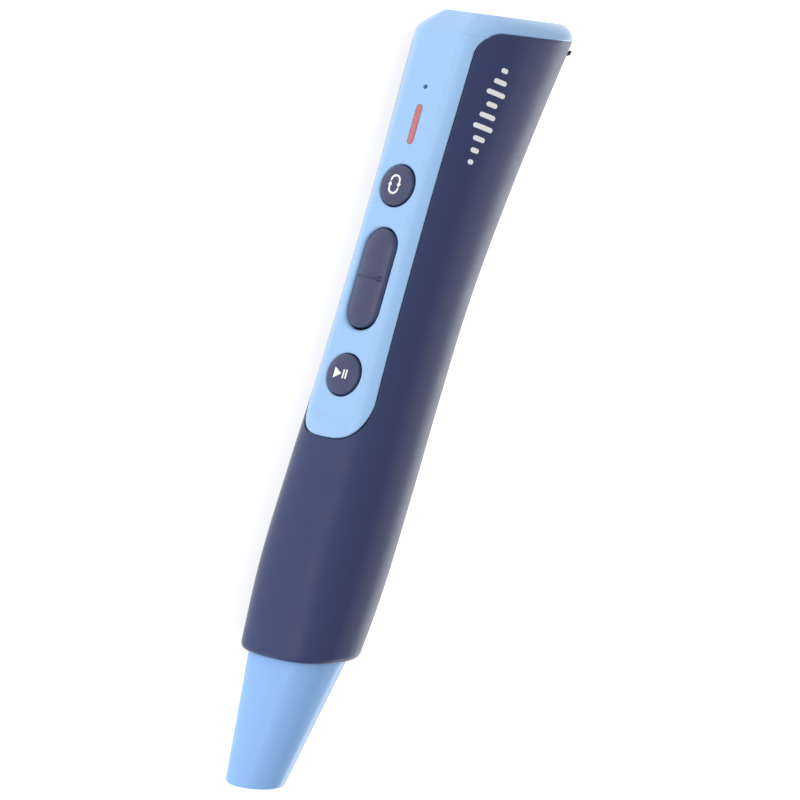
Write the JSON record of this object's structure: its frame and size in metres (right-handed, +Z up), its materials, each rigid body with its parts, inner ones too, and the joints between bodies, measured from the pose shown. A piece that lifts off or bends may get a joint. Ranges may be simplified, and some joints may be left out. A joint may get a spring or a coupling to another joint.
{
  "type": "reading pen",
  "caption": "Talking reading pen with a slanted optical nose, two round keys, a volume rocker, a light bar and sockets under a rear flap.",
  "frame": {"origin": "middle of the pen's box, on the surface that it lies on", "axes": "+X along the pen towards the reading nose, -Y out of the button face, +Z up through the pen's side"},
  "size_m": [0.1644, 0.0344, 0.0246],
  "materials": {
    "casing_navy": "soft-touch matte coating",
    "cover_sky": "high-gloss moulded plastic",
    "key_navy": "satin moulded plastic",
    "icon_white": "printed inlay",
    "light_red": "translucent light guide",
    "dark_rubber": "moulded rubber",
    "dark_plastic": "moulded plastic",
    "window_glass": "infrared filter",
    "board_green": "circuit board with solder mask",
    "steel": "plated steel",
    "cell_foil": "foil pouch",
    "foam": "closed-cell foam",
    "flex_gold": "flexible printed circuit",
    "white_plastic": "moulded plastic",
    "lead_wire": "insulated wire"
  },
  "bodies": {
    "pen": {"body_shell": "casing_navy", "front_cover": "cover_sky", "nose_cone": "cover_sky", "nose_gasket": "dark_rubber", "tip_window": "window_glass", "light_shroud": "dark_plastic", "camera_lens": "dark_plastic", "camera_module": "steel", "infrared_lamps": "white_plastic", "sensor_board": "board_green", "camera_holder": "dark_plastic", "holder_screws": "steel", "sensor_cable": "flex_gold", "main_board": "board_green", "processor": "dark_plastic", "memory_chip": "dark_plastic", "crystal": "steel", "board_capacitors": "flex_gold", "board_screws": "steel", "repeat_switch": "steel", "play_switch": "steel", "rocker_pin": "steel", "rocker_bracket": "steel", "volume_switches": "dark_plastic", "light_bar": "light_red", "status_lamp": "white_plastic", "microphone": "steel", "microphone_boot": "dark_rubber", "battery": "cell_foil", "battery_pad": "foam", "battery_plug": "white_plastic", "battery_leads": "lead_wire", "speaker_basket": "dark_plastic", "speaker_cone": "dark_plastic", "speaker_magnet": "steel", "speaker_gasket": "foam", "speaker_clamp": "dark_plastic", "speaker_leads": "lead_wire", "usb_socket": "steel", "usb_tongue": "dark_plastic", "headphone_socket": "dark_plastic", "port_board": "board_green"},
    "repeat_key": {"repeat_button": "key_navy", "repeat_icon": "icon_white", "repeat_plunger": "white_plastic"},
    "play_key": {"play_button": "key_navy", "play_icon": "icon_white", "play_plunger": "white_plastic"},
    "rocker": {"volume_rocker": "key_navy"},
    "flap": {"port_flap": "dark_rubber"}
  },
  "joints": [
    {"name": "repeat_press", "type": "slide", "parent": "pen", "child": "repeat_key", "axis": [0, 1, 0], "range_m": [0, 0.0005], "stiffness_N_per_m": 900, "springref_m": -0.0004},
    {"name": "play_press", "type": "slide", "parent": "pen", "child": "play_key", "axis": [0, 1, 0], "range_m": [0, 0.0005], "stiffness_N_per_m": 900, "springref_m": -0.0004},
    {"name": "volume_tip", "type": "hinge", "parent": "pen", "child": "rocker", "pos_m": [-0.02006, -0.01284, 0.0123], "axis": [0, 0, 1], "range_deg": [-2.5, 2.5], "stiffness_Nm_per_rad": 0.25},
    {"name": "flap_hinge", "type": "hinge", "parent": "pen", "child": "flap", "pos_m": [-0.06176, 0.01327, 0.0123], "axis": [0, 0, -1], "range_deg": [0, 110]}
  ]
}
